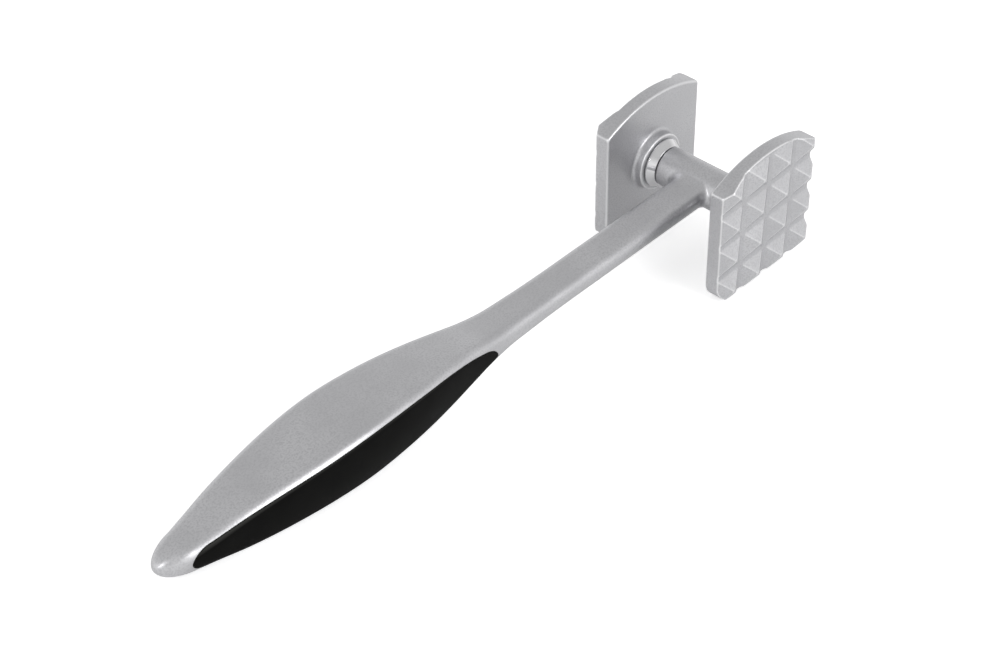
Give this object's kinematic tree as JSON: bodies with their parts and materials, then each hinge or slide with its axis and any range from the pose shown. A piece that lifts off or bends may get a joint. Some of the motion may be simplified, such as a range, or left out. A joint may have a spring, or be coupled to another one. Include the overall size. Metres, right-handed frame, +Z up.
{
  "type": "meat mallet",
  "caption": "Hand-held meat mallet: two toothed, arch-topped head plates on a crossbar, and a slim metal handle with soft black inserts in its swelling grip.",
  "frame": {"origin": "on the resting surface, under the middle of the bounding box, with the mallet at rest on the lower corners of its plates and on the nose of its handle", "axes": "+X from the handle's nose towards the head, level; +Y to the left head plate, along the crossbar; +Z up"},
  "size_m": [0.2504, 0.0564, 0.0484],
  "materials": {
    "cast_aluminium": "satin tumbled casting",
    "polished_collar": "polished",
    "stud_steel": "turned",
    "soft_black": "soft-touch, smooth matt"
  },
  "bodies": {
    "root": {"handle_casting": "cast_aluminium", "grip_insert_left": "soft_black", "grip_insert_right": "soft_black", "head_plate_left": "cast_aluminium", "head_plate_right": "cast_aluminium", "plate_collar_left": "polished_collar", "plate_collar_right": "polished_collar", "plate_stud_left": "stud_steel", "plate_stud_right": "stud_steel"}
  },
  "joints": []
}
